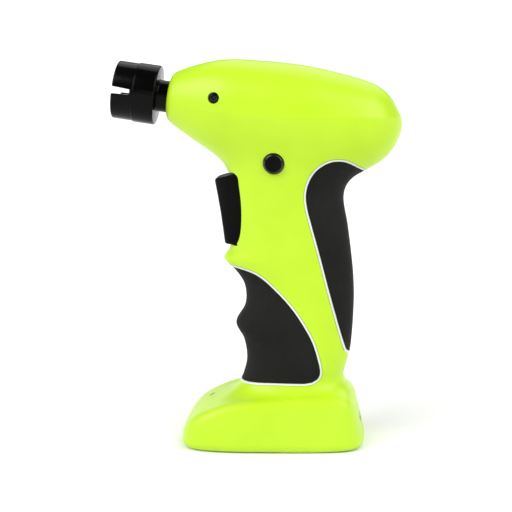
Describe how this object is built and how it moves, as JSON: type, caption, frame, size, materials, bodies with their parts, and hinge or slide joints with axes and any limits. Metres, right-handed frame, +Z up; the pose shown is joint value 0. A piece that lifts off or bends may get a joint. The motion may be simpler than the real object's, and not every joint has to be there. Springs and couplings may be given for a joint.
{
  "type": "string winder",
  "caption": "Pistol-shaped rechargeable string winder: slotted round head on a tapered barrel, squeeze trigger, rubber-clad grip and broad flat battery foot.",
  "frame": {"origin": "on the floor plane under the middle of the grip, on the seam between the two half shells", "axes": "+Z up, standing on its foot; the slotted head points along -X, tipped up by 8.2 degrees; +Y is the right-hand side"},
  "size_m": [0.1255, 0.0514, 0.1687],
  "materials": {
    "lime_plastic": "satin moulded ABS",
    "grip_rubber": "soft matte overmould",
    "trim_plastic": "satin",
    "control_plastic": "fine matte",
    "head_plastic": "polished, satin at the mouth",
    "switch_plastic": "moulded",
    "gear_nylon": "moulded",
    "plain_steel": "turned",
    "spring_steel": "drawn wire",
    "motor_steel": "zinc plated",
    "black_screw": "black oxide",
    "bushing_brass": "turned",
    "magnet_ferrite": "dull ferrite",
    "cell_wrap": "shrink wrap",
    "board_green": "solder mask",
    "light_lens": "clear lens",
    "red_lead": "insulation",
    "black_lead": "insulation"
  },
  "bodies": {
    "housing": {"housing_left": "lime_plastic", "housing_right": "lime_plastic", "front_grip_left": "grip_rubber", "front_grip_right": "grip_rubber", "rear_grip_left": "grip_rubber", "rear_grip_right": "grip_rubber", "front_trim_left": "trim_plastic", "front_trim_right": "trim_plastic", "rear_trim_left": "trim_plastic", "rear_trim_right": "trim_plastic", "trigger_pin": "plain_steel", "trigger_spring": "spring_steel", "trigger_switch": "switch_plastic", "direction_switch": "switch_plastic", "ring_gear": "switch_plastic", "front_bushing": "bushing_brass", "gearbox_front_plate": "switch_plastic", "motor_plate": "plain_steel", "motor_can": "motor_steel", "motor_magnets": "magnet_ferrite", "motor_endcap": "gear_nylon", "battery_cell": "cell_wrap", "cell_strip_bottom": "plain_steel", "cell_strip_top": "plain_steel", "control_board": "board_green", "charge_board": "board_green", "usb_c_socket": "plain_steel", "charge_light": "light_lens", "motor_lead_red": "red_lead", "motor_lead_black": "black_lead", "battery_lead_red": "red_lead", "battery_lead_black": "black_lead", "housing_screw_1": "black_screw", "housing_screw_2": "black_screw", "housing_screw_3": "black_screw", "housing_screw_4": "black_screw", "housing_screw_5": "black_screw", "housing_screw_6": "black_screw", "nose_screw": "black_screw"},
    "winder": {"winder_head": "head_plastic", "head_screw": "black_screw", "output_spindle": "plain_steel"},
    "stage_one_carrier_body": {"stage_one_carrier": "plain_steel"},
    "stage_two_planet_1_body": {"stage_two_planet_1": "gear_nylon"},
    "stage_two_planet_2_body": {"stage_two_planet_2": "gear_nylon"},
    "stage_two_planet_3_body": {"stage_two_planet_3": "gear_nylon"},
    "stage_one_planet_1_body": {"stage_one_planet_1": "gear_nylon"},
    "stage_one_planet_2_body": {"stage_one_planet_2": "gear_nylon"},
    "stage_one_planet_3_body": {"stage_one_planet_3": "gear_nylon"},
    "rotor": {"motor_rotor": "motor_steel", "motor_pinion": "bushing_brass"},
    "trigger_lever": {"trigger": "control_plastic"},
    "direction_slider": {"direction_button": "control_plastic"}
  },
  "joints": [
    {"name": "winder_spin", "type": "hinge", "parent": "housing", "child": "winder", "pos_m": [-0.0486, 0, 0.1523], "axis": [0.9898, 0, -0.1426], "continuous": true},
    {"name": "stage_one_carrier_spin", "type": "hinge", "parent": "housing", "child": "stage_one_carrier_body", "pos_m": [-0.0486, 0, 0.1523], "axis": [0.9898, 0, -0.1426], "continuous": true},
    {"name": "motor_spin", "type": "hinge", "parent": "housing", "child": "rotor", "pos_m": [-0.0486, 0, 0.1523], "axis": [0.9898, 0, -0.1426], "continuous": true},
    {"name": "stage_two_planet_1_spin", "type": "hinge", "parent": "winder", "child": "stage_two_planet_1_body", "pos_m": [-0.04754, 0, 0.15965], "axis": [0.9898, 0, -0.1426], "continuous": true},
    {"name": "stage_two_planet_2_spin", "type": "hinge", "parent": "winder", "child": "stage_two_planet_2_body", "pos_m": [-0.04913, -0.00643, 0.14863], "axis": [0.9898, 0, -0.1426], "continuous": true},
    {"name": "stage_two_planet_3_spin", "type": "hinge", "parent": "winder", "child": "stage_two_planet_3_body", "pos_m": [-0.04913, 0.00643, 0.14863], "axis": [0.9898, 0, -0.1426], "continuous": true},
    {"name": "stage_one_planet_1_spin", "type": "hinge", "parent": "stage_one_carrier_body", "child": "stage_one_planet_1_body", "pos_m": [-0.04754, 0, 0.15965], "axis": [0.9898, 0, -0.1426], "continuous": true},
    {"name": "stage_one_planet_2_spin", "type": "hinge", "parent": "stage_one_carrier_body", "child": "stage_one_planet_2_body", "pos_m": [-0.04913, -0.00643, 0.14863], "axis": [0.9898, 0, -0.1426], "continuous": true},
    {"name": "stage_one_planet_3_spin", "type": "hinge", "parent": "stage_one_carrier_body", "child": "stage_one_planet_3_body", "pos_m": [-0.04913, 0.00643, 0.14863], "axis": [0.9898, 0, -0.1426], "continuous": true},
    {"name": "trigger_pull", "type": "hinge", "parent": "housing", "child": "trigger_lever", "pos_m": [-0.0145, 0, 0.092], "axis": [0, 1, 0], "range_deg": [0, 8], "stiffness_Nm_per_rad": 0.1, "springref_deg": -11.46, "deforming": ["trigger_spring"]},
    {"name": "direction_slide", "type": "slide", "parent": "housing", "child": "direction_slider", "axis": [0, 1, 0], "range_m": [0, 0.003]}
  ],
  "couplings": [
    {"joint": "stage_one_carrier_spin", "follows": "winder_spin", "ratio": 4.5},
    {"joint": "motor_spin", "follows": "winder_spin", "ratio": 20.25},
    {"joint": "stage_two_planet_1_spin", "follows": "winder_spin", "ratio": -2.8},
    {"joint": "stage_two_planet_2_spin", "follows": "winder_spin", "ratio": -2.8},
    {"joint": "stage_two_planet_3_spin", "follows": "winder_spin", "ratio": -2.8},
    {"joint": "stage_one_planet_1_spin", "follows": "winder_spin", "ratio": -12.6},
    {"joint": "stage_one_planet_2_spin", "follows": "winder_spin", "ratio": -12.6},
    {"joint": "stage_one_planet_3_spin", "follows": "winder_spin", "ratio": -12.6}
  ]
}
